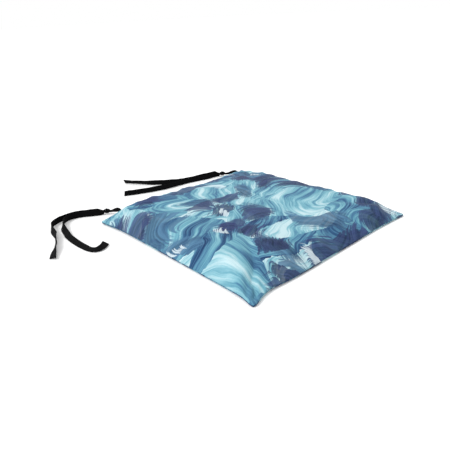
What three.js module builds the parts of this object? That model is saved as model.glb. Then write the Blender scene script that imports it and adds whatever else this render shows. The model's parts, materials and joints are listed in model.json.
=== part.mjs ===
// Chair seat pad: a square, fibre-filled, knife-edge cushion with two folded tape ties.
// Millimetres, +Z up. The origin is on the surface the pad lies on, under the pad's centre.
// +X runs along the rear edge and +Y points to that edge, where the ties are sewn in.
import * as THREE from 'three';

// ---- Driving dimensions -------------------------------------------------------------

const PAD_WIDTH = 406; // corner to corner along X
const PAD_DEPTH = 406; // corner to corner along Y
const PAD_THICKNESS = 35; // crown above the surface it lies on
const EDGE_PULL = 4; // how far each side draws in between its corners
const EAR_SHARPNESS = 12; // how late a side runs out to the ear at its corner

const SEAM_HEIGHT_FRONT = 4.5;
const SEAM_HEIGHT_REAR = 12;
const SEAM_HEIGHT_CORNER = 3.2;
const CORNER_DROOP = 6; // how late the seam drops towards a corner
const CROWN_REACH = 70; // from the seam in to where the crown is full
const CROWN_FULLNESS = 0.6; // below 1, the crown leaves the seam steeply
const BELLY_REACH = 35; // from the seam in to the flat underside

const CLOTH_THICKNESS = 0.8;
const TURNED_WALL = 1; // cloth standing at the fold of the turned seam
const SEAM_ALLOWANCE = 10;
const ALLOWANCE_GAP = 1.4; // between the two allowances, for thread and tape
const CLEARANCE = 0.4; // between pieces that touch
const FILL_CLEARANCE = 1.2; // filling to the inside of the cover
const LOWER_TURN = 0.3; // cloth that stands below the lower allowance at the edge

const THREAD_DIAMETER = 0.5;
const CLOSURE_THREAD_DIAMETER = 0.6;
const STITCH_INSET = 3; // stitch line, in from the edge
const CLOSURE_LENGTH = 120; // turning gap in the rear seam, stitched shut after filling
const THREAD_CORNER_GAP = 8; // thread ends short of a front corner by this much
const THREAD_END_GAP = 1; // end of a thread to the tape or thread that it meets

const TAPE_WIDTH = 12.7;
const TAPE_THICKNESS = 1.2;
const TIE_INSET_LEFT = 45; // rear left corner to the left tie
const TIE_INSET_RIGHT = 37; // rear right corner to the right tie
const ANCHOR_WIDTH = 10; // folded tape inside the seam
const ANCHOR_SHY = 0.5; // fold of the tape, short of the edge of the allowances
const ANCHOR_THICKNESS = 0.6;
const ANCHOR_NOSE = 3; // gathered tape that shows past the seam
const ANCHOR_NOSE_WIDTH = 3;
const TIE_HINGE_OFFSET = 4.6; // seam edge out to the line that a tie bends on
const BAR_TACK_WIDTH = 9;
const BAR_TACK_DEPTH = 3;
const BAR_TACK_HEIGHT = 0.5;
const BAR_TACK_INSET = 4;

const PANEL_STEPS = 20;
const FRONT_RUN_STEPS = 16;
const SIDE_RUN_STEPS = 18;
const TIE_RUN_STEPS = 4;
const REAR_RUN_STEPS = 8;
const ROOT_SPAN_STEPS = 3;
const TAIL_SPAN_STEPS = 2;
const THREAD_SIDES = 6;
const ROUND_SIDES = 10;
const KNOT_SIDES = 14;
const KNOT_RINGS = 9;

// ---- Materials ------------------------------------------------------------------------

const printedCloth = { color: 0x6aa0bd, roughness: 0.75, metalness: 0 };
const fibre = { color: 0xf2f0ea, roughness: 1, metalness: 0 };
const seamThread = { color: 0x4a6c92, roughness: 0.6, metalness: 0 };
const blackTape = { color: 0x0b0b0d, roughness: 0.8, metalness: 0 };
const blackThread = { color: 0x15151a, roughness: 0.6, metalness: 0 };

const seatPad = new THREE.Group();

function addPiece(parent, name, geometry, finish) {
  const mesh = new THREE.Mesh(geometry, new THREE.MeshStandardMaterial(finish));
  mesh.name = name;
  parent.add(mesh);
}

// ---- Shape of the cushion --------------------------------------------------------------
// u and v run from -1 to 1 across the width and the depth, and reach 1 at the seam.

const halfWidth = PAD_WIDTH / 2;
const halfDepth = PAD_DEPTH / 2;

function pulledIn(across) {
  return EDGE_PULL * (1 - Math.abs(across) ** EAR_SHARPNESS);
}

function padPoint(u, v, z) {
  return new THREE.Vector3(u * (halfWidth - pulledIn(v)), v * (halfDepth - pulledIn(u)), z);
}

function seamHeight(u, v) {
  const along = SEAM_HEIGHT_FRONT + ((SEAM_HEIGHT_REAR - SEAM_HEIGHT_FRONT) * (v + 1)) / 2;
  const nearCorner = Math.min(1, Math.abs(u * v)) ** CORNER_DROOP;
  return along + (SEAM_HEIGHT_CORNER - along) * nearCorner;
}

function rise(distance, reach) {
  return Math.sin((Math.PI / 2) * Math.min(1, Math.max(0, distance) / reach));
}

function riseOverPad(u, v, reach, fullness) {
  const fromSides = rise(halfWidth * (1 - Math.abs(u)), reach) ** fullness;
  const fromEnds = rise(halfDepth * (1 - Math.abs(v)), reach) ** fullness;
  return fromSides * fromEnds;
}

const allowanceInner = ALLOWANCE_GAP / 2;
const allowanceOuter = allowanceInner + CLOTH_THICKNESS;

function crownHeight(u, v) {
  const edge = seamHeight(u, v) + allowanceOuter;
  return edge + (PAD_THICKNESS - edge) * riseOverPad(u, v, CROWN_REACH, CROWN_FULLNESS);
}

function bellyHeight(u, v) {
  const edge = seamHeight(u, v) - allowanceOuter - CLOTH_THICKNESS - LOWER_TURN;
  return edge * (1 - riseOverPad(u, v, BELLY_REACH, 1));
}

// The same u and v, taken on the outline that lies a distance in from the seam.
function inset(u, v, distance) {
  return [u * (1 - distance / halfWidth), v * (1 - distance / halfDepth)];
}

// Stations that crowd towards both seams, where the surface turns fastest.
function stationsAcross(steps) {
  const stations = [];
  for (let i = 0; i <= steps; i += 1) {
    stations.push(Math.sin((i / steps - 0.5) * Math.PI));
  }
  return stations;
}

// ---- Solids -----------------------------------------------------------------------------

function solidFrom(points, triangles) {
  const geometry = new THREE.BufferGeometry();
  const positions = points.flatMap((point) => point.toArray());
  geometry.setAttribute('position', new THREE.Float32BufferAttribute(positions, 3));
  geometry.setIndex(triangles);
  geometry.computeVertexNormals();
  return geometry;
}

// A closed solid between an upper and a lower sheet over one grid of u and v. The rims in
// between run round its edge, from the upper sheet down to the lower one.
function layeredSolid(us, vs, upper, rims, lower) {
  const points = [];
  const triangles = [];
  const lastU = us.length - 1;
  const lastV = vs.length - 1;
  const border = [];
  for (let i = 0; i < lastU; i += 1) border.push([i, 0]);
  for (let j = 0; j < lastV; j += 1) border.push([lastU, j]);
  for (let i = lastU; i > 0; i -= 1) border.push([i, lastV]);
  for (let j = lastV; j > 0; j -= 1) border.push([0, j]);

  function addSheet(place, facesUp) {
    const first = points.length;
    const index = (i, j) => first + j * us.length + i;
    vs.forEach((v) => us.forEach((u) => points.push(place(u, v))));
    for (let j = 0; j < lastV; j += 1) {
      for (let i = 0; i < lastU; i += 1) {
        const corners = [index(i, j), index(i + 1, j), index(i + 1, j + 1), index(i, j + 1)];
        const [a, b, c, d] = facesUp ? corners : corners.reverse();
        triangles.push(a, b, c, a, c, d);
      }
    }
    return border.map(([i, j]) => index(i, j));
  }

  function addRim(place) {
    const first = points.length;
    border.forEach(([i, j]) => points.push(place(us[i], vs[j])));
    return border.map((_, k) => first + k);
  }

  const loops = [addSheet(upper, true)];
  rims.forEach((rim) => loops.push(addRim(rim)));
  loops.push(addSheet(lower, false));
  for (let level = 0; level + 1 < loops.length; level += 1) {
    const above = loops[level];
    const below = loops[level + 1];
    for (let k = 0; k < border.length; k += 1) {
      const next = (k + 1) % border.length;
      triangles.push(below[k], below[next], above[next], below[k], above[next], above[k]);
    }
  }
  return solidFrom(points, triangles);
}

// A section carried along stations, each { at, across, upright, section }.
function sweptSolid(stations) {
  const sides = stations[0].section.length;
  const points = [];
  const triangles = [];
  stations.forEach(({ at, across, upright, section }) => {
    section.forEach(([a, b]) => {
      points.push(at.clone().addScaledVector(across, a).addScaledVector(upright, b));
    });
  });
  const last = (stations.length - 1) * sides;
  for (let start = 0; start < last; start += sides) {
    for (let k = 0; k < sides; k += 1) {
      const next = (k + 1) % sides;
      const [a, b] = [start + k, start + next];
      triangles.push(a, b, b + sides, a, b + sides, a + sides);
    }
  }
  for (let k = 1; k + 1 < sides; k += 1) {
    triangles.push(0, k + 1, k);
    triangles.push(last, last + k, last + k + 1);
  }
  return solidFrom(points, triangles);
}

function roundSection(radius, sides) {
  const section = [];
  for (let k = 0; k < sides; k += 1) {
    const angle = (2 * Math.PI * k) / sides;
    section.push([radius * Math.cos(angle), radius * Math.sin(angle)]);
  }
  return section;
}

function tapeSection(width, thickness) {
  const [a, b] = [width / 2, thickness / 2];
  const [flat, lip] = [a - b, b / 2];
  return [[a, -lip], [a, lip], [flat, b], [-flat, b], [-a, lip], [-a, -lip], [-flat, -b], [flat, -b]];
}

// Level left-hand direction of travel along a curve at t.
function leftOf(curve, t) {
  const travel = curve.getTangent(t).setZ(0).normalize();
  return new THREE.Vector3(-travel.y, travel.x, 0);
}

// ---- Cover: two panels sewn all round and turned, so their allowances lie inside ---------

const panelStations = stationsAcross(PANEL_STEPS);

function onOutline(distance, height) {
  return (u, v) => {
    const [iu, iv] = inset(u, v, distance);
    return padPoint(iu, iv, height(iu, iv));
  };
}

function topPanel() {
  const rims = [
    onOutline(0, (u, v) => seamHeight(u, v) + allowanceInner),
    onOutline(SEAM_ALLOWANCE, (u, v) => seamHeight(u, v) + allowanceInner),
    onOutline(SEAM_ALLOWANCE, (u, v) => seamHeight(u, v) + allowanceOuter),
    onOutline(TURNED_WALL, (u, v) => seamHeight(u, v) + allowanceOuter),
  ];
  const inside = onOutline(TURNED_WALL, (u, v) => crownHeight(u, v) - CLOTH_THICKNESS);
  return layeredSolid(panelStations, panelStations, onOutline(0, crownHeight), rims, inside);
}

function bottomPanel() {
  const rims = [
    onOutline(TURNED_WALL, (u, v) => seamHeight(u, v) - allowanceOuter),
    onOutline(SEAM_ALLOWANCE, (u, v) => seamHeight(u, v) - allowanceOuter),
    onOutline(SEAM_ALLOWANCE, (u, v) => seamHeight(u, v) - allowanceInner),
    onOutline(0, (u, v) => seamHeight(u, v) - allowanceInner),
  ];
  const inside = onOutline(TURNED_WALL, (u, v) => bellyHeight(u, v) + CLOTH_THICKNESS);
  return layeredSolid(panelStations, panelStations, inside, rims, onOutline(0, bellyHeight));
}

addPiece(seatPad, 'top_panel', topPanel(), printedCloth);
addPiece(seatPad, 'bottom_panel', bottomPanel(), printedCloth);

// ---- Filling: one bat of fibre that fills the cover inside the allowances ------------------

function fibreFill() {
  const edge = SEAM_ALLOWANCE + FILL_CLEARANCE;
  const skin = CLOTH_THICKNESS + FILL_CLEARANCE;
  const above = onOutline(edge, (u, v) => crownHeight(u, v) - skin);
  const below = onOutline(edge, (u, v) => bellyHeight(u, v) + skin);
  return layeredSolid(panelStations, panelStations, above, [], below);
}

addPiece(seatPad, 'fibre_fill', fibreFill(), fibre);

// ---- Seam thread: runs between the two allowances, in from the edge by the stitch inset -----

function seamPoint(u, v) {
  return padPoint(u, v, seamHeight(u, v));
}

function threadAlong(points, diameter) {
  const curve = new THREE.CatmullRomCurve3(points, false, 'centripetal');
  const steps = points.length - 1;
  const upright = new THREE.Vector3(0, 0, 1);
  const section = roundSection(diameter / 2, THREAD_SIDES);
  const stations = [];
  for (let i = 0; i <= steps; i += 1) {
    const across = leftOf(curve, i / steps);
    stations.push({ at: points[i], across, upright, section });
  }
  return sweptSolid(stations);
}

const [stitchU, stitchV] = inset(1, 1, STITCH_INSET);
const frontGapU = THREAD_CORNER_GAP / halfWidth;
const frontGapV = THREAD_CORNER_GAP / halfDepth;

function between(from, to, steps, place) {
  const points = [];
  for (let i = 0; i <= steps; i += 1) {
    points.push(place(from + ((to - from) * i) / steps));
  }
  return points;
}

const tieX = { left: TIE_INSET_LEFT - halfWidth, right: halfWidth - TIE_INSET_RIGHT };
const threadStop = (ANCHOR_WIDTH / 2 + THREAD_END_GAP) / halfWidth;
const leftTieU = tieX.left / halfWidth;
const rightTieU = tieX.right / halfWidth;
const closureU = CLOSURE_LENGTH / 2 / halfWidth;
const closureGapU = THREAD_END_GAP / halfWidth;

const alongFront = (u) => seamPoint(u, -stitchV);
const frontRun = between(-1 + frontGapU, 1 - frontGapU, FRONT_RUN_STEPS, alongFront);
addPiece(seatPad, 'seam_thread_front', threadAlong(frontRun, THREAD_DIAMETER), seamThread);

// A side's run turns the rear corner and goes on as far as the tie.
function sideRun(side, tieU) {
  const onSide = (v) => seamPoint(side * stitchU, v);
  const alongSide = between(-1 + frontGapV, stitchV, SIDE_RUN_STEPS, onSide);
  const stop = tieU + side * threadStop;
  const toTie = between(side * stitchU, stop, TIE_RUN_STEPS, (u) => seamPoint(u, stitchV));
  return alongSide.concat(toTie.slice(1));
}

const leftRun = sideRun(-1, leftTieU);
const rightRun = sideRun(1, rightTieU);
addPiece(seatPad, 'seam_thread_left', threadAlong(leftRun, THREAD_DIAMETER), seamThread);
addPiece(seatPad, 'seam_thread_right', threadAlong(rightRun, THREAD_DIAMETER), seamThread);

function rearRun(from, to) {
  return between(from, to, REAR_RUN_STEPS, (u) => seamPoint(u, stitchV));
}

const rearLeftRun = rearRun(leftTieU + threadStop, -closureU - closureGapU);
const rearRightRun = rearRun(closureU + closureGapU, rightTieU - threadStop);
const closureRun = rearRun(-closureU, closureU);
addPiece(seatPad, 'seam_thread_rear_left', threadAlong(rearLeftRun, THREAD_DIAMETER), seamThread);
addPiece(seatPad, 'seam_thread_rear_right', threadAlong(rearRightRun, THREAD_DIAMETER), seamThread);
addPiece(seatPad, 'closure_stitch', threadAlong(closureRun, CLOSURE_THREAD_DIAMETER), seamThread);

// ---- Ties: a tape folded in half, its fold sewn into the rear seam -------------------------

// Folded end: full width between the allowances, gathered where it comes out of the seam.
function tieAnchor(u) {
  const vs = [
    1 - (SEAM_ALLOWANCE - ANCHOR_SHY) / halfDepth,
    1 - STITCH_INSET / halfDepth,
    1,
    1 + ANCHOR_NOSE / halfDepth,
  ];
  const widths = [ANCHOR_WIDTH, ANCHOR_WIDTH, ANCHOR_NOSE_WIDTH * 2, ANCHOR_NOSE_WIDTH];
  const place = (side) => (across, v) => {
    const sideU = u + (across * widths[vs.indexOf(v)]) / 2 / halfWidth;
    const z = seamHeight(sideU, Math.min(1, v)) + (side * ANCHOR_THICKNESS) / 2;
    return padPoint(sideU, v, z);
  };
  return layeredSolid([-1, 0, 1], vs, place(1), [], place(-1));
}

// Dense zigzag that holds the fold, on the upper allowance.
function barTack(u) {
  const halfU = BAR_TACK_WIDTH / 2 / halfWidth;
  const outerV = 1 - BAR_TACK_INSET / halfDepth;
  const vs = [outerV - BAR_TACK_DEPTH / halfDepth, outerV];
  const base = allowanceOuter + CLEARANCE;
  const place = (height) => (du, v) => {
    const tackU = u + du;
    return padPoint(tackU, v, seamHeight(tackU, v) + height);
  };
  return layeredSolid([-halfU, 0, halfU], vs, place(base + BAR_TACK_HEIGHT), [], place(base));
}

// Doubled tape bunched to a cord: the radius changes along its route.
function bunchedTape(route, radii, stepsPerSpan) {
  const curve = new THREE.CatmullRomCurve3(route, false, 'catmullrom', 0.5);
  const spans = route.length - 1;
  const steps = spans * stepsPerSpan;
  const stations = [];
  for (let i = 0; i <= steps; i += 1) {
    const t = i / steps;
    const span = Math.min(spans - 1, Math.floor(t * spans));
    const blend = THREE.MathUtils.smoothstep(t * spans - span, 0, 1);
    const radius = THREE.MathUtils.lerp(radii[span], radii[span + 1], blend);
    const travel = curve.getTangent(t);
    const across = leftOf(curve, t);
    const upright = travel.clone().cross(across).normalize();
    stations.push({ at: curve.getPoint(t), across, upright, section: roundSection(radius, ROUND_SIDES) });
  }
  return sweptSolid(stations);
}

// A tape tail from [x, y, lift, tilt] points: lift is its lower edge above the surface, and
// tilt turns it from flat, 0, to standing on edge, 90 degrees.
function tapeTail(route, stepsPerSpan) {
  const places = route.map(([x, y]) => new THREE.Vector3(x, y, 0));
  const poses = route.map(([, , lift, tilt]) => new THREE.Vector3(lift, tilt, 0));
  const path = new THREE.CatmullRomCurve3(places, false, 'catmullrom', 0.5);
  const turns = new THREE.CatmullRomCurve3(poses, false, 'catmullrom', 0.5);
  const steps = (route.length - 1) * stepsPerSpan;
  const stations = [];
  for (let i = 0; i <= steps; i += 1) {
    const t = i / steps;
    const pose = turns.getPoint(t);
    const tilt = THREE.MathUtils.degToRad(pose.y);
    const reach = Math.abs(Math.sin(tilt)) * TAPE_WIDTH + Math.abs(Math.cos(tilt)) * TAPE_THICKNESS;
    const at = path.getPoint(t).setZ(Math.max(0, pose.x) + reach / 2);
    const left = leftOf(path, t);
    const across = left.clone().multiplyScalar(Math.cos(tilt)).setZ(Math.sin(tilt));
    const upright = left.clone().multiplyScalar(-Math.sin(tilt)).setZ(Math.cos(tilt));
    stations.push({ at, across, upright, section: tapeSection(TAPE_WIDTH, TAPE_THICKNESS) });
  }
  return sweptSolid(stations);
}

// Points are measured from the hinge line's middle, and their heights from the surface.
const leftTie = {
  root: [[-0.8, 0.3, 10.6], [-2.2, 8, 13.2], [-4.6, 15.2, 12.4], [-8, 23, 9.6], [-11, 29.4, 8]],
  knot: { at: [-14.7, 36.6, 7.4], turn: 120 },
  tailA: [
    [-18.6, 43.2, 0.3, 92], [-28, 48.4, 0.8, 92], [-42.5, 57.6, 0.8, 90], [-53, 65, 0.6, 88],
    [-64.5, 70.6, 0.4, 88], [-77, 74.2, 0, 90], [-90.6, 74.2, 0, 90], [-103.5, 70.6, 0, 90],
    [-115.5, 64.6, 0, 90], [-125, 54.6, 0, 88], [-130.6, 41, 0, 74], [-133.6, 26, 0, 52],
    [-137, 11, 0, 58], [-141.5, -3, 0, 84], [-149, -19.6, 0, 88], [-159, -36.4, 0, 60],
    [-168.4, -51.4, 0, 32], [-177.4, -67.6, 0, 20],
  ],
  tailB: [
    [-20.6, 39.4, 0.3, 86], [-28.6, 42.6, 0.2, 90], [-36.5, 47, 0, 90], [-46, 53.2, 0, 90],
    [-55.5, 60, 0, 90], [-66, 65.4, 0, 90], [-79, 67.4, 0, 90], [-90.7, 63.8, 0, 90],
    [-100.5, 55.4, 0, 87], [-107.4, 43, 0, 68], [-112.6, 28.6, 0, 42], [-116.4, 11.4, 0, 26],
    [-120.6, -14.6, 0, 20], [-121.6, -41.4, 0, 17], [-120.6, -64.6, 0, 12], [-117.4, -84.6, 0.3, 10],
    [-111, -95.4, 1, 14], [-101, -96.4, 1.6, 24], [-88, -88, 1, 34],
  ],
};

const rightTie = {
  root: [[-0.6, 0.4, 10.2], [-6.4, 3.6, 11], [-12.6, 8.6, 9.6], [-18, 15.8, 8.4], [-21, 22.8, 7.8]],
  knot: { at: [-24, 30.7, 7.4], turn: 118 },
  tailA: [
    [-29.6, 35.2, 0.3, 88], [-38, 39.4, 0.2, 90], [-53, 41.2, 0, 90], [-70, 43.8, 0, 90],
    [-88, 49.6, 0, 90], [-106, 54.8, 0, 90], [-124, 57.6, 0, 90], [-146, 59.8, 0, 90],
    [-170, 62.4, 0, 90], [-194, 69.8, 0, 90], [-218.4, 79, 0, 90], [-239, 88.4, 0, 90],
    [-259.6, 98.4, 0, 90],
  ],
  tailB: [
    [-27.4, 38.4, 0.3, 90], [-37, 45.4, 0.6, 88], [-52, 49.4, 0.6, 86], [-69.5, 52.4, 0.6, 86],
    [-87, 56.4, 0.4, 86], [-104, 60, 0, 88], [-118, 64.4, 0, 90], [-131.6, 72.4, 0, 90],
    [-147.4, 84.8, 0, 90], [-160, 96, 0, 86], [-172, 107.6, 0, 78], [-182, 119.8, 0, 69],
    [-190.4, 133.6, 0, 62], [-200.2, 149.2, 0, 58], [-208, 161.4, 0, 58], [-215, 172.4, 0.3, 64],
  ],
};

const rootRadii = [1, 3.4, 3.3, 2.4, 2];
const knotRadii = [6.4, 4.8, 4.6];

function addTie(side, tie) {
  const u = tieX[side] / halfWidth;
  addPiece(seatPad, `tie_anchor_${side}`, tieAnchor(u), blackTape);
  addPiece(seatPad, `bar_tack_${side}`, barTack(u), blackThread);

  const hanging = new THREE.Group();
  const seamEdge = padPoint(u, 1, 0);
  hanging.position.set(seamEdge.x, seamEdge.y + TIE_HINGE_OFFSET, 0);
  const route = tie.root.map((point) => new THREE.Vector3(...point));
  addPiece(hanging, `tie_root_${side}`, bunchedTape(route, rootRadii, ROOT_SPAN_STEPS), blackTape);

  const knot = new THREE.SphereGeometry(1, KNOT_SIDES, KNOT_RINGS);
  knot.scale(...knotRadii);
  knot.rotateZ(THREE.MathUtils.degToRad(tie.knot.turn));
  knot.translate(...tie.knot.at);
  addPiece(hanging, `tie_knot_${side}`, knot, blackTape);

  addPiece(hanging, `tie_tail_${side}_a`, tapeTail(tie.tailA, TAIL_SPAN_STEPS), blackTape);
  addPiece(hanging, `tie_tail_${side}_b`, tapeTail(tie.tailB, TAIL_SPAN_STEPS), blackTape);
  seatPad.add(hanging);
}

addTie('left', leftTie);
addTie('right', rightTie);

export default seatPad;
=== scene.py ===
import json
import math

import bmesh
import bpy
import numpy as np
from mathutils import Matrix, Vector, noise
from mathutils.bvhtree import BVHTree


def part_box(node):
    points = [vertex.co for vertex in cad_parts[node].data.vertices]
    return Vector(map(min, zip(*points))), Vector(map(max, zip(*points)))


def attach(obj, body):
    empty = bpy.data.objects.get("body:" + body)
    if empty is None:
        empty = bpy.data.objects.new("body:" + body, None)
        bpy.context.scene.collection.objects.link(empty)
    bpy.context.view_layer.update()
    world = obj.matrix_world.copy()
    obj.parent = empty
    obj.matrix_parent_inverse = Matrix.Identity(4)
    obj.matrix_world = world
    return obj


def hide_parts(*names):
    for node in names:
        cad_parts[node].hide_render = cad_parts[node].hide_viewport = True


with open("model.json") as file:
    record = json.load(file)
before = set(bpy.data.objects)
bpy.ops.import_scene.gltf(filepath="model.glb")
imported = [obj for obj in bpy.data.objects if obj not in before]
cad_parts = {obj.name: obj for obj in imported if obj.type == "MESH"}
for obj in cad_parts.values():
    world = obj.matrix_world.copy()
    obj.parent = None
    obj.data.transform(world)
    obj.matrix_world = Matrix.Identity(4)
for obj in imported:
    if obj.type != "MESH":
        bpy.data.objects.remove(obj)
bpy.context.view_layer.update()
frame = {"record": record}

bpy.ops.object.select_all(action="DESELECT")

# ---------------------------------------------------------------------------------------
# Camera: a standing person's three-quarter view, down over the pad's front left corner,
# with the ties running off to the left.

CAMERA_PLACE = Vector((-0.5725, -0.5694, 0.3636))
CAMERA_AZIMUTH = math.radians(-41.645)
CAMERA_ELEVATION = math.radians(24.745)
CAMERA_ROLL = math.radians(-2.848)
CAMERA_LENS = 36.83

back = Vector((
    math.sin(CAMERA_AZIMUTH) * math.cos(CAMERA_ELEVATION),
    -math.cos(CAMERA_AZIMUTH) * math.cos(CAMERA_ELEVATION),
    math.sin(CAMERA_ELEVATION),
))
right = Vector((math.cos(CAMERA_AZIMUTH), math.sin(CAMERA_AZIMUTH), 0.0))
facing = Matrix((right, back.cross(right), back)).transposed()
facing = facing @ Matrix.Rotation(CAMERA_ROLL, 3, "Z")
bpy.ops.object.camera_add(location=CAMERA_PLACE, rotation=facing.to_euler())
camera = bpy.context.object
camera.data.sensor_width = 36.0
camera.data.lens = CAMERA_LENS
bpy.context.scene.camera = camera

# ---------------------------------------------------------------------------------------
# Tie tails: the four free ends of two black cotton twill tapes, each folded in half and
# sewn in at its fold. The tape is woven narrow goods with a firm edge, cut square.

TAPE_WIDTH = 0.0127
TAPE_THICKNESS = 0.0011
TAPE_CUP = 0.0007        # how far the middle of the tape stands off its edges
TAPE_SWAY = 0.0008       # how far the tape wanders off its route
TAPE_ROLL = 0.10         # how far it rolls about its own length, in radians
TAPE_PINCH = 0.10        # share of its width that it loses where it creases
SWAYS, ROLLS, PINCHES = 48.0, 26.0, 60.0      # of each in a metre of tape, about
TAPE_SLANT = {           # how far off square each end is cut
    ("left", "a"): 0.0045, ("left", "b"): -0.0012, ("right", "a"): -0.0010, ("right", "b"): 0.0006,
}
TAPE_STEPS = 8           # stations between two route points
KNOT_TAPER = 0.012       # length over which a tail opens out of its knot
KNOT_SHARE = 0.66        # share of its width that a tail has where it leaves the knot

joints = {joint["name"]: joint for joint in frame["record"]["behaviour"]["joints"]}


def hinge_of(side):
    x, y, _ = joints[f"tie_{side}_lift"]["pos_m"]
    return Vector((x, y, 0.0))


def spline(points, steps):
    """Smooth curve through rows of numbers, with steps places between two rows."""
    rows = np.array(points, float)
    rows = np.vstack([2 * rows[0] - rows[1], rows, 2 * rows[-1] - rows[-2]])
    places = []
    for k in range(1, len(rows) - 2):
        p0, p1, p2, p3 = rows[k - 1:k + 3]
        for t in np.linspace(0.0, 1.0, steps, endpoint=False):
            places.append(0.5 * (
                2 * p1 + (p2 - p0) * t
                + (2 * p0 - 5 * p1 + 4 * p2 - p3) * t ** 2
                + (3 * p1 - p0 - 3 * p2 + p3) * t ** 3
            ))
    places.append(rows[-2])
    return np.array(places)


def smooth(value, low, high):
    t = np.clip((value - low) / (high - low), 0.0, 1.0)
    return t * t * (3.0 - 2.0 * t)


def sweep(name, rings, girth):
    """A closed tube through rings of points. Its UV map runs round and along it in metres."""
    count, sides = rings.shape[:2]
    vertices = rings.reshape(-1, 3).tolist()
    faces = []
    for s in range(count - 1):
        for k in range(sides):
            n = (k + 1) % sides
            faces.append((s * sides + k, s * sides + n, (s + 1) * sides + n, (s + 1) * sides + k))
    faces.append(tuple(reversed(range(sides))))
    faces.append(tuple(range((count - 1) * sides, count * sides)))
    mesh = bpy.data.meshes.new(name)
    mesh.from_pydata(vertices, [], faces)
    centres = rings.mean(axis=1)
    along = np.concatenate([[0.0], np.cumsum(np.linalg.norm(np.diff(centres, axis=0), axis=1))])
    layer = mesh.uv_layers.new(name="tape")
    for face in mesh.polygons:
        for loop in face.loop_indices:
            ring, place = divmod(mesh.loops[loop].vertex_index, sides)
            layer.data[loop].uv = (girth * place / sides, along[ring])
    piece = bpy.data.objects.new(name, mesh)
    bpy.context.collection.objects.link(piece)
    build = bmesh.new()
    build.from_mesh(mesh)
    bmesh.ops.recalc_face_normals(build, faces=build.faces)
    build.to_mesh(mesh)
    build.free()
    mesh.shade_smooth()
    return piece


def level_left(places):
    """The level direction to the left of the way that a route runs, at each of its places."""
    travel = np.gradient(places[:, :2], axis=0)
    travel /= np.linalg.norm(travel, axis=1)[:, None]
    return np.column_stack([-travel[:, 1], travel[:, 0], np.zeros(len(places))])


def tape_outline():
    """Half-width and half-thickness fractions round a woven tape's section."""
    across = np.array([-1.0, -0.94, -0.8, -0.55, -0.28, 0.0, 0.28, 0.55, 0.8, 0.94, 1.0])
    full = np.array([0.45, 1.0, 1.0, 0.86, 0.8, 0.78, 0.8, 0.86, 1.0, 1.0, 0.45])
    top = np.column_stack([across, full])
    under = np.column_stack([across[::-1], -full[::-1]])
    return np.vstack([under, top])


def tape_tail(name, side, route, length, slant_cut):
    """A tail along rows of x, y and lift in millimetres from the hinge, and tilt in degrees.

    The lift is the lower edge's. At tilt 0 the tape lies flat, and at 90 it stands on edge.
    """
    places = spline(route, TAPE_STEPS)
    hinge = hinge_of(side)
    x, y = places[:, 0] / 1000 + hinge.x, places[:, 1] / 1000 + hinge.y
    run = np.concatenate([[0.0], np.cumsum(np.hypot(np.diff(x), np.diff(y)))])
    sway = [TAPE_SWAY * noise.noise(Vector((s * SWAYS, 8.7, length * 70))) for s in run]
    side_on = level_left(np.column_stack([x, y, y]))
    x = x + side_on[:, 0] * sway * smooth(run, 0.01, 0.03)
    y = y + side_on[:, 1] * sway * smooth(run, 0.01, 0.03)
    ripple = np.array([noise.noise(Vector((s * ROLLS, 3.1, length * 40))) for s in run])
    tilt = np.radians(places[:, 3]) + TAPE_ROLL * ripple * smooth(run, 0.02, 0.05)
    slack = np.array([noise.noise(Vector((s * PINCHES, 5.3, length * 90))) for s in run])
    opening = KNOT_SHARE + (1 - KNOT_SHARE) * smooth(run, 0.0, KNOT_TAPER)
    width = TAPE_WIDTH * opening * (1.0 - TAPE_PINCH * np.abs(slack))
    sine, cosine = np.abs(np.sin(tilt)), np.abs(np.cos(tilt))
    middle = np.maximum(0.0, places[:, 2]) / 1000 + (sine * width + cosine * TAPE_THICKNESS) / 2
    centre = np.column_stack([x, y, middle])
    left = level_left(centre)
    up = np.array([0.0, 0.0, 1.0])
    across = left * np.cos(tilt)[:, None] + up * np.sin(tilt)[:, None]
    facing_out = up * np.cos(tilt)[:, None] - left * np.sin(tilt)[:, None]
    outline = tape_outline()
    cup = TAPE_CUP * (1.0 - outline[:, 0] ** 2) * 0.6
    rings = []
    for s in range(len(centre)):
        wide = outline[:, 0:1] * across[s] * width[s] / 2
        thick = (outline[:, 1:2] * TAPE_THICKNESS / 2 + cup[:, None] * cosine[s]) * facing_out[s]
        rings.append(centre[s] + wide + thick)
    rings = np.array(rings)
    onward = (centre[-1] - centre[-2]) / np.linalg.norm(centre[-1] - centre[-2])
    rings[-1] += slant_cut * outline[:, 0:1] * onward
    rings[:, :, 2] = np.maximum(rings[:, :, 2], 0.0)
    tail = sweep(name, rings, 2 * TAPE_WIDTH)
    return tail, [tuple(point) for point in centre]


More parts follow.
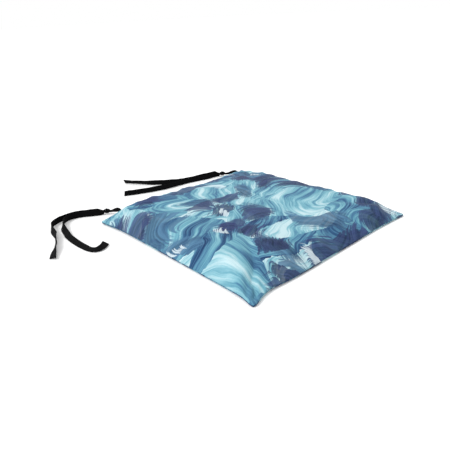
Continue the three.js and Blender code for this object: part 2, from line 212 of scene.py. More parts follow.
# How each tail lies: rows of x, y, lift and tilt.
LEFT_TAILS = {
    "a": [
        (-18.6, 43.2, 0.3, 92), (-28, 48.4, 0.8, 92), (-42.5, 57.6, 0.8, 90), (-53, 65, 0.6, 88),
        (-64.5, 70.6, 0.4, 88), (-77, 74.2, 0, 90), (-90.6, 74.2, 0, 90), (-103.5, 70.6, 0, 90),
        (-115.5, 64.6, 0, 90), (-125, 54.6, 0, 88), (-130.6, 41, 0, 74), (-133.6, 26, 0, 52),
        (-137, 11, 0, 58), (-141.5, -3, 0, 84), (-149, -19.6, 0, 88), (-159, -36.4, 0, 60),
        (-168.4, -51.4, 0, 32), (-177.4, -67.6, 0, 20),
    ],
    "b": [
        (-20.6, 39.4, 0.3, 86), (-28.6, 42.6, 0.2, 90), (-36.5, 47, 0, 90), (-46, 53.2, 0, 90),
        (-55.5, 60, 0, 90), (-66, 65.4, 0, 90), (-79, 67.4, 0, 90), (-90.7, 63.8, 0, 90),
        (-100.5, 55.4, 0, 87), (-107.4, 43, 0, 68), (-112.6, 28.6, 0, 42), (-116.4, 11.4, 0, 26),
        (-120.6, -14.6, 0, 20), (-121.6, -41.4, 0, 17), (-120.6, -64.6, 0, 12),
        (-117.4, -84.6, 0.3, 10), (-111, -95.4, 1, 14), (-101, -96.4, 1.6, 24), (-88, -88, 1, 34),
    ],
}
RIGHT_TAILS = {
    "a": [
        (-29.6, 35.2, 0.3, 88), (-38, 39.4, 0.2, 90), (-53, 41.2, 0, 90), (-70, 43.8, 0, 90),
        (-88, 49.6, 0, 90), (-106, 54.8, 0, 90), (-124, 57.6, 0, 90), (-146, 59.8, 0, 90),
        (-170, 62.4, 0, 90), (-194, 69.8, 0, 90), (-218.4, 79, 0, 90), (-239, 88.4, 0, 90),
        (-259.6, 98.4, 0, 90),
    ],
    "b": [
        (-27.4, 38.4, 0.3, 90), (-37, 45.4, 0.6, 88), (-52, 49.4, 0.6, 86), (-69.5, 52.4, 0.6, 86),
        (-87, 56.4, 0.4, 86), (-104, 60, 0, 88), (-118, 64.4, 0, 90), (-131.6, 72.4, 0, 90),
        (-147.4, 84.8, 0, 90), (-160, 96, 0, 86), (-172, 107.6, 0, 78), (-182, 119.8, 0, 69),
        (-190.4, 133.6, 0, 62), (-200.2, 149.2, 0, 58), (-208, 161.4, 0, 58), (-215, 172.4, 0.3, 64),
    ],
}


class Value:
    """A shader value that takes part in Python arithmetic, each step a Math node."""

    def __init__(self, shader, socket):
        self.shader = shader
        self.socket = socket

    def math(self, operation, *others):
        node = self.shader.tree.nodes.new("ShaderNodeMath")
        node.operation = operation
        for place, other in enumerate((self, *others)):
            self.shader.feed(node.inputs[place], other)
        return Value(self.shader, node.outputs[0])

    def __add__(self, other):
        return self.math("ADD", other)

    def __sub__(self, other):
        return self.math("SUBTRACT", other)

    def __mul__(self, other):
        return self.math("MULTIPLY", other)

    def __rsub__(self, other):
        return (self * -1.0) + other

    __radd__ = __add__
    __rmul__ = __mul__


class Shader:
    """The node tree of one finish."""

    def __init__(self, name, **constants):
        self.material = bpy.data.materials.new(name)
        self.material.use_nodes = True
        self.tree = self.material.node_tree
        self.surface = self.tree.nodes["Principled BSDF"]
        for socket, value in constants.items():
            name = socket.replace("_", " ").title().replace("Ior", "IOR")
            self.surface.inputs[name].default_value = value

    def feed(self, socket, value):
        """Links a value to a socket, or sets the socket to a constant."""
        if isinstance(value, Value):
            value = value.socket
        if isinstance(value, bpy.types.NodeSocket):
            self.tree.links.new(value, socket)
        else:
            socket.default_value = value

    def node(self, kind, output=0, settings=None, **inputs):
        """Adds a node with its settings, then feeds its sockets.

        A socket goes by its name, or by an underscore and its place in the node's list.
        """
        node = self.tree.nodes.new("ShaderNode" + kind)
        for key, value in (settings or {}).items():
            if key == "stops":
                ramp = node.color_ramp
                while len(ramp.elements) < len(value):
                    ramp.elements.new(1.0)
                for element, (position, colour) in zip(ramp.elements, value):
                    element.position = position
                    element.color = (*colour, 1.0)
            else:
                setattr(node, key, value)
        for key, value in inputs.items():
            place = int(key[1:]) if key[1:].isdigit() else key.replace("_", " ")
            self.feed(node.inputs[place], value)
        return Value(self, node.outputs[output])

    def coordinates(self):
        return self.node("TexCoord", "Object")

    def uv(self, name):
        return self.node("UVMap", settings={"uv_map": name})

    def vector(self, operation, first, second):
        return self.node("VectorMath", settings={"operation": operation}, _0=first, _1=second)

    def split(self, vector, axis):
        return self.node("SeparateXYZ", axis, _0=vector)

    def noise(self, vector, scale, detail=2.0, rough=0.5, output=0):
        return self.node("TexNoise", output, Vector=vector, Scale=scale, Detail=detail, Roughness=rough)

    def mix(self, factor, first, second, blend="MIX"):
        settings = {"data_type": "RGBA", "blend_type": blend}
        return self.node("Mix", 2, settings, _0=factor, _6=first, _7=second)

    def step(self, value, low, high):
        settings = {"interpolation_type": "SMOOTHSTEP"}
        return self.node("MapRange", 0, settings, _0=value, _1=low, _2=high)

    def bump(self, height, strength, distance):
        bumped = self.node("Bump", Strength=strength, Distance=distance, Height=height)
        self.feed(self.surface.inputs["Normal"], bumped)


TWILL_RIB, TWILL_PICK = 0.0011, 0.0006        # from one rib, and one weft yarn, to the next


def twill_tape():
    """Dull black cotton with ribs that run across it at a slant."""
    shader = Shader("black_twill", sheen_weight=0.02, specular_ior_level=0.06)
    uv = shader.uv("tape")
    across, along = shader.split(uv, 0), shader.split(uv, 1)
    rib = ((along + across * 0.8) * (2 * math.pi / TWILL_RIB)).math("SINE")
    pick = (along * (2 * math.pi / TWILL_PICK)).math("SINE")
    fuzz = shader.noise(shader.coordinates(), 900.0, 3.0)
    shader.bump(rib * 0.55 + pick * 0.15 + fuzz * 0.5, 0.5, 0.0003)
    # The colour is darker in the grooves between the ribs and lighter on their crests, painted shade and
    # painted light; it also varies with the fuzz.
    tone = shader.step(rib * 0.25 + fuzz, 0.2, 0.9)
    colour = shader.mix(tone, (0.0008, 0.0008, 0.0011, 1), (0.0034, 0.0034, 0.0042, 1))
    shader.feed(shader.surface.inputs["Base Color"], colour)
    shader.feed(shader.surface.inputs["Roughness"], fuzz * 0.2 + 0.75)
    return shader.material


black_twill = twill_tape()
tails = {}
for side, routes in (("left", LEFT_TAILS), ("right", RIGHT_TAILS)):
    for end, route in routes.items():
        rough_length = sum(math.dist(p[:2], q[:2]) for p, q in zip(route, route[1:])) / 1000
        tail, path = tape_tail(f"tail_{side}_{end}", side, route, rough_length, TAPE_SLANT[side, end])
        tail.data.materials.append(black_twill)
        tails[side, end] = (tail, path)

# ---------------------------------------------------------------------------------------
# Tie roots and knots: outside the seam the doubled tape is bunched into a soft cord, and
# an overhand knot near the seam holds the two tails together.

# Places from the hinge, in millimetres: along each root, its knot's middle, and its tails' start.
ROOT_ROUTES = {
    "left": [(-0.8, 0.3, 10.6), (-2.2, 8, 13.2), (-4.6, 15.2, 12.4), (-8, 23, 9.6), (-11, 29.4, 8)],
    "right": [
        (-0.6, 0.4, 10.4), (-6.4, 3.6, 12.4), (-12.6, 8.6, 11.4), (-18, 15.8, 9.2), (-21, 22.8, 7.8),
    ],
}
KNOTS = {"left": (-14.7, 36.6, 7.4), "right": (-24, 30.7, 7.4)}
TAIL_STARTS = {"left": (-22, 43.4, 5.6), "right": (-31.4, 38.2, 5.6)}
ROOT_RADII = [1.6, 3.6, 4.1, 2.9, 2.3, 3.0, 3.2]
ROOT_STEPS, ROOT_SIDES = 9, 36
ROOT_SQUASH = (1.1, 0.9)     # how wide and how tall the bunched tape is, for its radius
BUNCH_GIRTH = 0.020          # round the bunched tape, for its UV map
KNOT_WRAP = 0.0030           # radius that the wrap turns at
KNOT_LENGTH = 0.0074
KNOT_TURNS = 2.3
KNOT_LEAN = 0.0016           # how far a turn of the wrap slants along the knot
KNOT_RINGS, KNOT_SIDES = 84, 24
WRAP_WIDE, WRAP_THICK = 0.0027, 0.0019       # half of each


def frames_along(places):
    """Travel, sideways and upward directions at each place of a route."""
    travel = np.gradient(places, axis=0)
    travel /= np.linalg.norm(travel, axis=1)[:, None]
    across = np.cross([0.0, 0.0, 1.0], travel)
    across /= np.linalg.norm(across, axis=1)[:, None]
    return travel, across, np.cross(travel, across)


def folded_section(angle, turn):
    """How far bunched tape stands out round its section, as soft folds."""
    fold = 0.2 * np.cos(3 * angle + turn) + 0.09 * np.cos(5 * angle - 1.7 * turn)
    return 1.0 + fold


def tie_root(side):
    """The doubled tape from the seam, through the knot and on to where its tails part."""
    route = [*ROOT_ROUTES[side], KNOTS[side], TAIL_STARTS[side]]
    rows = [(*place, radius) for place, radius in zip(route, ROOT_RADII)]
    stations = spline(rows, ROOT_STEPS) / 1000
    places = stations[:, :3] + np.array(hinge_of(side))
    _, across, upward = frames_along(places)
    angle = np.linspace(0, 2 * math.pi, ROOT_SIDES, endpoint=False)
    wide, tall = ROOT_SQUASH
    rings = []
    for s, radius in enumerate(stations[:, 3]):
        out = radius * folded_section(angle, 0.9 + 0.07 * s)[:, None]
        rings.append(places[s] + out * (np.cos(angle)[:, None] * across[s] * wide
                                        + np.sin(angle)[:, None] * upward[s] * tall))
    return sweep(f"root_{side}", np.array(rings), BUNCH_GIRTH)


def tie_knot(side):
    """The wraps of bunched tape that an overhand knot draws tight round the tape inside it."""
    hinge = np.array(hinge_of(side))
    middle = hinge + np.array(KNOTS[side]) / 1000
    axis = np.array(TAIL_STARTS[side]) - np.array(ROOT_ROUTES[side][-1])
    axis = axis / np.linalg.norm(axis)
    side_on = np.cross([0.0, 0.0, 1.0], axis)
    side_on /= np.linalg.norm(side_on)
    upward = np.cross(axis, side_on)
    t = np.linspace(0.0, 1.0, KNOT_RINGS)
    swing = 2 * math.pi * KNOT_TURNS * t + 0.6
    radius = KNOT_WRAP * (0.45 + 0.55 * np.sin(math.pi * t) ** 0.4)
    tilted = KNOT_LEAN * np.sin(swing + 1.1)
    places = (middle + ((t - 0.5) * KNOT_LENGTH + tilted)[:, None] * axis
              + (radius * np.cos(swing))[:, None] * side_on
              + (radius * np.sin(swing))[:, None] * upward)
    travel = np.gradient(places, axis=0)
    travel /= np.linalg.norm(travel, axis=1)[:, None]
    outward = np.cos(swing)[:, None] * side_on + np.sin(swing)[:, None] * upward
    flat = np.cross(travel, outward)
    flat /= np.linalg.norm(flat, axis=1)[:, None]
    outward = np.cross(flat, travel)
    angle = np.linspace(0, 2 * math.pi, KNOT_SIDES, endpoint=False)
    folds = (np.sin(angle) * (1 + 0.16 * np.cos(4 * angle)))[:, None]
    rings = []
    for s in range(len(t)):
        bulk = 0.7 + 0.3 * math.sin(math.pi * t[s])
        ring = places[s] + np.cos(angle)[:, None] * flat[s] * WRAP_WIDE * bulk
        rings.append(ring + folds * outward[s] * WRAP_THICK * bulk)
    return sweep(f"knot_{side}", np.array(rings), BUNCH_GIRTH)


for side in ("left", "right"):
    root, knot = tie_root(side), tie_knot(side)
    for piece, node in ((root, f"tie_root_{side}"), (knot, f"tie_knot_{side}")):
        piece.data.materials.append(black_twill)
        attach(piece, f"tie_{side}")
        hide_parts(node)
    for end in ("a", "b"):
        tail, path = tails[side, end]
        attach(tail, f"tie_{side}")
        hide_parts(f"tie_tail_{side}_{end}")

# ---------------------------------------------------------------------------------------
# Top panel: one square of printed plain-weave polyester, sewn to the bottom panel right
# sides together and turned, so its allowance lies inside and its edge is a knife edge.

pad_low, pad_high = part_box("top_panel")
HALF_WIDTH = (pad_high[0] - pad_low[0]) / 2
HALF_DEPTH = (pad_high[1] - pad_low[1]) / 2
CROWN = pad_high[2]
EDGE_PULL = 0.004        # how far each edge draws in along its middle
# Each is for the front left, front right, rear left and rear right ears.
EAR_PULL_ENDS = (0.0062, -0.0022, -0.0020, 0.0012)   # how far the front and rear edges draw in
EAR_PULL_SIDES = (0.0004, -0.0022, -0.0020, 0.0012)  # how far the side edges draw in
EAR_LIFT = (0.0014, 0.0004, 0.0, 0.0)           # how far the edge rises where it draws in
EAR_POINT = (0.0046, 0.0034, 0.0052, 0.0034)    # how far a corner stands out before it is rounded
EAR_REACH_X, EAR_REACH_Y = 0.046, 0.030         # corner to where the edge draws in most
EAR_ROUND = 0.011        # radius of a corner's tip
SIDES_STAY_LOW = 0.7     # share of the rear seam's height that the side seams don't take up
SEAM_FRONT, SEAM_REAR, SEAM_CORNER = 0.0034, 0.012, 0.0028      # heights of the seam
TIE_LIFT, TIE_LIFT_U, TIE_LIFT_WIDTH = 0.0030, -0.80, 0.16      # the left tie holds the rear seam up
CROWN_REACH, CROWN_FULLNESS = 0.070, 0.6     # from the seam to the flat of the top, and how full
BELLY_REACH = 0.035                          # from the seam to where the underside lies flat
ALLOWANCE = 0.010
SEAM_SPLIT = 0.0005      # half the gap between the two turned edges
TURNED_EDGE = 0.0009     # height of cloth that stands at the fold
CLOTH = 0.0005
PANEL_DIVISIONS = 116
START_SHARE = 0.98       # the cover starts a little slack and swells to its crown
SWELL_FRAMES = 22
SWELL_CAP = 0.006        # the furthest that swelling moves the cloth
SWELL_PRESSURE, SWELL_GROWTH = 3.0, 0.022


def by_corner(u, v, values):
    """Blends front left, front right, rear left and rear right values over the pad."""
    front = values[0] * (1 - u) / 2 + values[1] * (1 + u) / 2
    rear = values[2] * (1 - u) / 2 + values[3] * (1 + u) / 2
    return front * (1 - v) / 2 + rear * (1 + v) / 2


def ear(from_corner, reach):
    """Rises from 0 at a corner to 1 where the ear is narrowest, and dies away along the edge."""
    share = from_corner / reach
    return (share * np.exp(1 - share)) ** 4


def ears(u, v):
    """The ear's share along the front and rear edges, and along the sides."""
    from_side, from_end = HALF_WIDTH * (1 - np.abs(u)), HALF_DEPTH * (1 - np.abs(v))
    return ear(from_side, EAR_REACH_X), ear(from_end, EAR_REACH_Y)


def seam_height(u, v):
    """Low round the front, high along the rear, and low again at the corners."""
    rearward = ((v + 1) / 2) ** 2 * (1 - SIDES_STAY_LOW * np.abs(u) ** 8)
    along = SEAM_FRONT + (SEAM_REAR - SEAM_FRONT) * rearward
    near_corner = np.minimum(1.0, np.abs(u * v)) ** 6
    lift = by_corner(u, v, EAR_LIFT) * np.maximum(*ears(u, v))
    tie_lift = TIE_LIFT * np.exp(-((u - TIE_LIFT_U) / TIE_LIFT_WIDTH) ** 2) * np.clip(v, 0, 1) ** 8
    return along + (SEAM_CORNER - along) * near_corner + lift + tie_lift


def round_tip(from_x, from_y):
    """Turns a square corner into a quarter circle. Both distances are from the edges."""
    p = np.clip(1 - from_x / EAR_ROUND, 0, 1)
    q = np.clip(1 - from_y / EAR_ROUND, 0, 1)
    rounded_x = EAR_ROUND * (1 - p * np.sqrt(1 - q * q / 2))
    rounded_y = EAR_ROUND * (1 - q * np.sqrt(1 - p * p / 2))
    return np.where(p > 0, rounded_x, from_x), np.where(q > 0, rounded_y, from_y)


def plan(u, v):
    """Place on the outline's own grid, drawn in between the corners, with rounded tips."""
    ear_x, ear_y = ears(u, v)
    stand = by_corner(u, v, EAR_POINT)
    point = stand * np.minimum(1.0, np.abs(u * v)) ** 6
    in_x = EDGE_PULL * (1 - np.abs(v) ** 12) + by_corner(u, v, EAR_PULL_SIDES) * ear_y - point
    in_y = EDGE_PULL * (1 - np.abs(u) ** 12) + by_corner(u, v, EAR_PULL_ENDS) * ear_x - point
    x, y = u * (HALF_WIDTH - in_x), v * (HALF_DEPTH - in_y)
    corner_x, corner_y = HALF_WIDTH + stand, HALF_DEPTH + stand
    from_x, from_y = round_tip(corner_x - np.abs(x), corner_y - np.abs(y))
    return np.sign(u) * (corner_x - from_x), np.sign(v) * (corner_y - from_y)


def rise(u, v, reach, fullness):
    """0 at the seam and 1 further in than the reach, with a rounded shoulder."""
    side = np.clip(HALF_WIDTH * (1 - np.abs(u)) / reach, 0, 1)
    end = np.clip(HALF_DEPTH * (1 - np.abs(v)) / reach, 0, 1)
    quarter = math.pi / 2
    return (np.sin(quarter * side) * np.sin(quarter * end)) ** fullness


def crown_height(u, v):
    edge = seam_height(u, v) + SEAM_SPLIT + TURNED_EDGE
    return edge + (CROWN - edge) * rise(u, v, CROWN_REACH, CROWN_FULLNESS)


def belly_height(u, v):
    edge = seam_height(u, v) - SEAM_SPLIT - TURNED_EDGE
    return edge * (1 - rise(u, v, BELLY_REACH, 1.0))


def only(piece):
    bpy.ops.object.select_all(action="DESELECT")
    piece.select_set(True)
    bpy.context.view_layer.objects.active = piece


def places_of(piece):
    flat = np.empty(3 * len(piece.data.vertices))
    piece.data.vertices.foreach_get("co", flat)
    return flat.reshape(-1, 3)


def put(piece, places):
    piece.data.vertices.foreach_set("co", np.ascontiguousarray(places).ravel())
    piece.data.update()


def panel_grid(name, divisions, height):
    """A square grid laid on the pad's plan at the height given. Returns it with its u and v."""
    bpy.ops.mesh.primitive_grid_add(x_subdivisions=divisions, y_subdivisions=divisions, size=2)
    piece = bpy.context.object
    piece.name = piece.data.name = name
    uv = places_of(piece)[:, :2].copy()
    u, v = uv[:, 0], uv[:, 1]
    x, y = plan(u, v)
    put(piece, np.column_stack([x, y, height(u, v)]))
    return piece, u, v


def clouds(places, scale, seed):
    """Smooth noise from -1 to 1 at each place."""
    return np.array([noise.noise(Vector((p[0] * scale, p[1] * scale, seed))) for p in places])


top, u, v = panel_grid("cover_top", PANEL_DIVISIONS, crown_height)
start = places_of(top)
start[:, 2] = crown_height(u, v) * START_SHARE + seam_height(u, v) * (1 - START_SHARE)
start[:, 2] += (1 - START_SHARE) * (SEAM_SPLIT + TURNED_EDGE)
middle = rise(u, v, 0.05, 1.0)
start[:, 2] += middle * (0.0024 * clouds(start, 15.0, 4.2) + 0.0010 * clouds(start, 38.0, 9.7))
put(top, start)


def swell(piece, held, frames, pressure, growth):
    """Blows the cloth up from below while the held vertices stay at the seam."""
    group = piece.vertex_groups.new(name="held")
    group.add(held, 1.0, "REPLACE")
    only(piece)
    bpy.ops.object.modifier_add(type="CLOTH")
    cloth = piece.modifiers[-1]
    settings = cloth.settings
    settings.quality = 6
    settings.mass = 0.15
    settings.tension_stiffness = settings.compression_stiffness = 12
    settings.shear_stiffness = 4
    settings.bending_stiffness = 0.35
    settings.use_pressure = True
    settings.uniform_pressure_force = pressure
    settings.vertex_group_mass = "held"
    settings.shrink_min = -growth
    settings.effector_weights.gravity = 0.0
    cloth.collision_settings.use_collision = False
    cloth.point_cache.frame_start = 1
    cloth.point_cache.frame_end = frames
    for number in range(1, frames + 1):
        bpy.context.scene.frame_set(number)
    only(piece)
    bpy.ops.object.modifier_apply(modifier=cloth.name)
    bpy.context.scene.frame_set(1)
    piece.vertex_groups.clear()


edge_of_panel = np.maximum(np.abs(u), np.abs(v))
held = [int(i) for i in np.flatnonzero(edge_of_panel > 1 - 1e-4)]
swell(top, held, SWELL_FRAMES, SWELL_PRESSURE, SWELL_GROWTH)
moved = places_of(top) - start
size = np.linalg.norm(moved, axis=1, keepdims=True)
moved *= SWELL_CAP * np.tanh(size / SWELL_CAP) / np.maximum(size, 1e-9)
put(top, start + moved)

# What sewing and filling do to the cover: thick and thin places in the filling, a valley in
# from each corner where two edges meet, folds in the ears, and gathers along the seam.

FILLING = [              # x, y, reach and height of each thick or thin place
    (0.160, 0.165, 0.062, -0.0090), (0.085, 0.182, 0.050, -0.0024), (-0.105, 0.178, 0.036, 0.0052),
    (-0.030, 0.180, 0.032, 0.0040), (-0.140, 0.150, 0.060, 0.0020), (0.178, -0.040, 0.060, 0.0030),
    (-0.165, -0.160, 0.050, -0.0020), (0.150, -0.150, 0.060, 0.0024),
    (-0.090, -0.020, 0.040, -0.0012), (0.070, 0.060, 0.045, -0.0012),
]
VALLEYS = {(-1, -1): 0.0095, (1, -1): 0.0040, (1, 1): 0.0045, (-1, 1): 0.0050}   # depth by corner
VALLEY_LENGTH = 0.190
EAR_FOLD = 0.0125        # from one small fold in an ear to the next
GATHER_REACH = 0.016
GATHER_HEIGHT = 0.0026
SHOULDER = 0.026         # above this height the swollen cover is settled to its crown


def settled(places):
    """Height that the uneven filling adds, fading to nothing at the seam."""
    from_x = HALF_WIDTH - np.abs(places[:, 0])
    from_y = HALF_DEPTH - np.abs(places[:, 1])
    inside = smooth(np.minimum(from_x, from_y), 0.002, 0.030)
    added = np.zeros(len(places))
    for x, y, reach, height in FILLING:
        away = np.hypot(places[:, 0] - x, places[:, 1] - y) / reach
        added += height * np.exp(-away ** 2)
    return inside * added


def valley(places):
    """Depth of the creases that run in from the four corners, and of the folds in their ears."""
    depth = np.zeros(len(places))
    for (sx, sy), deep in VALLEYS.items():
        from_x = HALF_WIDTH - sx * places[:, 0]
        from_y = HALF_DEPTH - sy * places[:, 1]
        inward = (from_x + from_y) / math.sqrt(2)
        aside = (from_x - from_y) / math.sqrt(2)
        wander = 0.003 * np.sin(inward * 60.0)
        width = 0.0030 + 0.085 * np.clip(inward, 0, VALLEY_LENGTH)
        along = smooth(inward, 0.006, 0.045) * (1 - smooth(inward, 0.06, VALLEY_LENGTH))
        depth += deep * along * np.exp(-np.abs((aside + wander) / width) ** 1.4)
        in_ear = smooth(inward, 0.006, 0.016) * (1 - smooth(inward, 0.030, 0.055))
        ripple = np.sin(aside * 2 * math.pi / EAR_FOLD + 1.2 + sx) * np.exp(-(aside / 0.012) ** 2)
        depth += 0.22 * deep * in_ear * ripple
    return depth


def gathers(places, seed):
    """Height of the small gathers that run in from the seam."""
    from_x = HALF_WIDTH - np.abs(places[:, 0])
    from_y = HALF_DEPTH - np.abs(places[:, 1])
    inward = np.minimum(from_x, from_y) - EDGE_PULL
    along = np.where(from_x < from_y, places[:, 1], places[:, 0] + 3.0)
    wave = np.array([noise.noise(Vector((a * 80.0, i * 22.0, seed))) for a, i in zip(along, inward)])
    fade = smooth(inward, 0.002, 0.007) * (1 - smooth(inward, 0.4 * GATHER_REACH, 2.2 * GATHER_REACH))
    return GATHER_HEIGHT * wave * fade


def subdivide(piece):
    only(piece)
    bpy.ops.object.modifier_add(type="SUBSURF")
    subsurf = piece.modifiers[-1]
    subsurf.levels = subsurf.render_levels = 1
    subsurf.boundary_smooth = "ALL"
    bpy.ops.object.modifier_apply(modifier=subsurf.name)


subdivide(top)
places = places_of(top)
places[:, 2] -= (places[:, 2].max() - CROWN) * smooth(places[:, 2], SHOULDER, places[:, 2].max())
places[:, 2] += gathers(places, 2.3) + settled(places) - valley(places)
put(top, places)


def turn_in(piece, sign):
    """Folds the panel's edge over and lays its allowance flat inside the pad."""
    build = bmesh.new()
    build.from_mesh(piece.data)
    rim = [edge for edge in build.edges if edge.is_boundary]
    for inset, drop in ((0.0, TURNED_EDGE), (0.4 * ALLOWANCE, 0.0), (0.6 * ALLOWANCE, 0.0)):
        grown = bmesh.ops.extrude_edge_only(build, edges=rim)["geom"]
        rim = [item for item in grown if isinstance(item, bmesh.types.BMEdge)]
        for vertex in {vertex for edge in rim for vertex in edge.verts}:
            x, y = vertex.co.x, vertex.co.y
            from_x, from_y = HALF_WIDTH - abs(x), HALF_DEPTH - abs(y)
            if from_x < from_y + ALLOWANCE:
                vertex.co.x -= math.copysign(inset, x)
            if from_y < from_x + ALLOWANCE:
                vertex.co.y -= math.copysign(inset, y)
            vertex.co.z -= sign * drop
    bmesh.ops.recalc_face_normals(build, faces=build.faces)
    build.to_mesh(piece.data)
    build.free()


cover_inside = BVHTree.FromPolygons(
    [vertex.co.copy() for vertex in top.data.vertices],
    [tuple(face.vertices) for face in top.data.polygons],
)
turn_in(top, 1)


def thicken(piece):
    """Gives the cloth its thickness, on the inside of the face that shows."""
    only(piece)
    bpy.ops.object.modifier_add(type="SOLIDIFY")
    solidify = piece.modifiers[-1]
    solidify.thickness = CLOTH
    solidify.offset = -1.0
    bpy.ops.object.modifier_apply(modifier=solidify.name)
    piece.data.shade_smooth()


def upward_share(piece):
    """More than 0 if the piece's faces look up on the whole."""
    return sum(face.normal.z * face.area for face in piece.data.polygons)


if upward_share(top) < 0:
    top.data.flip_normals()
thicken(top)


YARN = 0.00062           # from one yarn of the plain weave to the next


def printed_cloth(name, drift):
    """Marbled watercolour print: overlapping combed brush strokes in aqua, steel blue and violet."""
    shader = Shader(name, sheen_weight=0.03, sheen_roughness=0.4, specular_ior_level=0.06)
    flat = shader.vector("MULTIPLY", shader.coordinates(), (1.0, 1.0, 0.0))
    flat = shader.vector("ADD", flat, drift)

    def pushed(place, seed, scale, reach):
        """The cloth's own place, swirled by soft noise of one size."""
        sown = shader.vector("ADD", place, (seed, seed * 0.7, seed))
        cloud = shader.vector("SUBTRACT", shader.noise(sown, scale, 1.0, output=1), (0.5, 0.5, 0.5))
        return shader.vector("ADD", place, shader.vector("MULTIPLY", cloud, (reach, reach, 0.0)))

    def strokes(seed, stretch, size, pull, hair_width):
        """Patches of paint, each combed in arcs round a point of its own.

        Gives the distance from a patch's middle, its chance colour, its fine hairs and its
        broad bands.
        """
        def sown(place):
            return shader.vector("MULTIPLY", shader.vector("ADD", place, (seed, -seed, 0.0)), stretch)

        def patch(output):
            settings = {"voronoi_dimensions": "2D"}
            return shader.node("TexVoronoi", output, settings, Vector=sown(ragged), Scale=1.0 / size)

        away, chance, centre = patch(0), patch(1), patch(2)
        aside = shader.vector("SUBTRACT", chance, (0.5, 0.5, 0.5))
        pivot = shader.vector("MULTIPLY", aside, (pull, pull, 0.0))
        arm = shader.vector("ADD", shader.vector("SUBTRACT", sown(swirl), centre), pivot)
        radius = shader.node("VectorMath", 1, {"operation": "LENGTH"}, _0=arm)
        drawn = shader.split(arm, 0) + shader.split(arm, 1)
        own = shader.split(chance, 0) * 37.0
        fine = shader.node("CombineXYZ", _0=radius * (1.0 / hair_width), _1=drawn * 9.0, _2=own)
        broad = shader.node("CombineXYZ", _0=radius * (0.2 / hair_width), _1=drawn * 5.0, _2=own)
        hairs = shader.step(shader.noise(fine, 1.0, 4.0, 0.68), 0.32, 0.68)
        return away, chance, hairs, shader.step(shader.noise(broad, 1.0, 2.0), 0.25, 0.75)

    swirl = pushed(pushed(flat, 3.0, 5.0, 0.16), 5.0, 16.0, 0.035)
    ragged = pushed(pushed(swirl, 9.0, 90.0, 0.008), 4.0, 260.0, 0.003)

    away, chance, hairs, bands = strokes(2.0, (1.0, 1.5, 1.0), 0.105, 0.28, 0.0052)
    tone = shader.split(chance, 1) * 0.38 + bands * 0.40 + hairs * 0.26 + 0.02
    colour = shader.node("ValToRGB", settings={"stops": [
        (0.18, (0.012, 0.036, 0.100)),
        (0.32, (0.030, 0.090, 0.190)),
        (0.44, (0.070, 0.190, 0.300)),
        (0.55, (0.125, 0.320, 0.405)),
        (0.68, (0.230, 0.450, 0.520)),
        (0.84, (0.460, 0.620, 0.660)),
    ]}, Fac=tone)

    def laid(away, chance, hairs, share, body, bite):
        """Where the paint of a layer lies: some patches only, ragged where the brush lifts."""
        picked = shader.step(shader.split(chance, 1), 1.0 - share, 1.001 - share)
        return picked * shader.step(body - away + (hairs - 0.5) * bite, 0.0, 0.08)

    away, chance, hairs, bands = strokes(7.0, (1.6, 1.0, 1.0), 0.090, 0.22, 0.0045)
    cover = laid(away, chance, hairs, 0.40, 0.50, 0.34)
    blue = shader.mix(hairs * 0.5 + bands * 0.5, (0.003, 0.012, 0.055, 1), (0.090, 0.205, 0.335, 1))
    colour = shader.mix(cover * 0.88, colour, blue)

    away, chance, hairs, bands = strokes(13.0, (1.0, 1.7, 1.0), 0.080, 0.20, 0.0042)
    cover = laid(away, chance, hairs, 0.36, 0.50, 0.34)
    violet = shader.mix(hairs * 0.6 + bands * 0.4, (0.001, 0.003, 0.022, 1), (0.052, 0.072, 0.190, 1))
    colour = shader.mix(cover * 0.84, colour, violet)

    away, chance, hairs, bands = strokes(19.0, (1.7, 1.0, 1.0), 0.062, 0.16, 0.0036)
    cover = laid(away, chance, hairs, 0.14, 0.25, 0.34)
    colour = shader.mix(cover * (0.45 + hairs * 0.4), colour, (0.60, 0.70, 0.74, 1))

    grain = shader.noise(flat, 420.0, 3.0)
    mottle = shader.mix(grain, (0.88, 0.88, 0.88, 1), (1.1, 1.1, 1.1, 1))
    shader.feed(shader.surface.inputs["Base Color"], shader.mix(1.0, colour, mottle, "MULTIPLY"))

    yarn = 2 * math.pi / YARN
    weave = (shader.split(flat, 0) * yarn).math("SINE") * (shader.split(flat, 1) * yarn).math("SINE")
    crumple = shader.noise(flat, 55.0, 2.0)
    shader.bump(weave * 0.35 + grain * 0.4 + crumple * 2.2, 0.35, 0.0006)
    shader.feed(shader.surface.inputs["Roughness"], grain * 0.16 + 0.52)
    return shader.material


top.data.materials.clear()
top.data.materials.append(printed_cloth("marbled_print", (-2.6, 1.9, 0.0)))
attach(top, "pad")
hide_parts("top_panel")

# ---------------------------------------------------------------------------------------
# Bottom panel: the same printed cloth, cut to the same square. It lies flat on the seat
# and turns up to the seam round its edge.

UNDER_GATHER = 0.6       # its gathers' height for the top panel's

bottom, u, v = panel_grid("cover_bottom", PANEL_DIVISIONS, belly_height)
subdivide(bottom)
places = places_of(bottom)
places[:, 2] = np.maximum(0.0, places[:, 2] - UNDER_GATHER * gathers(places, 7.9))
put(bottom, places)
turn_in(bottom, -1)
if upward_share(bottom) > 0:
    bottom.data.flip_normals()
thicken(bottom)
bottom.data.materials.clear()
bottom.data.materials.append(printed_cloth("marbled_print_under", (1.7, 0.9, 0.0)))
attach(bottom, "pad")
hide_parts("bottom_panel")

# ---------------------------------------------------------------------------------------
# Filling: loose white polyester fibre, blown in through the gap in the rear seam. It
# settles into one soft bat that stops short of the seam allowances.

FILL_INSET = ALLOWANCE + 0.0012      # from the edge to the bat
FILL_SKIN = 0.0022                   # from the cover's inside to the bat
FILL_DIVISIONS = 60
FLUFF = 0.0005


